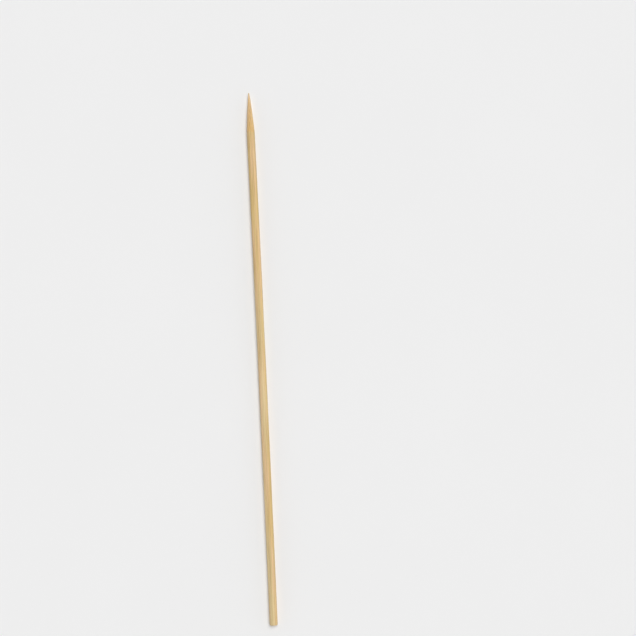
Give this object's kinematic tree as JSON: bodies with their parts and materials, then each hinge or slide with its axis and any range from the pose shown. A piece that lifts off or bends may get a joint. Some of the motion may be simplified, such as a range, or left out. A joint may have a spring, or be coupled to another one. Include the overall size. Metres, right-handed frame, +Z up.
{
  "type": "bamboo skewer",
  "caption": "Round bamboo stick, ground to a point and sawn square at its other end, for threading and grilling small pieces of food.",
  "frame": {"origin": "under the middle of the skewer, on the surface that it lies on", "axes": "+Y along the skewer from its sawn end to its point, +Z up from the flat that it lies on, +X across it"},
  "size_m": [0.0032, 0.2, 0.0029],
  "materials": {
    "bamboo": "satin"
  },
  "bodies": {
    "root": {"skewer": "bamboo"}
  },
  "joints": []
}
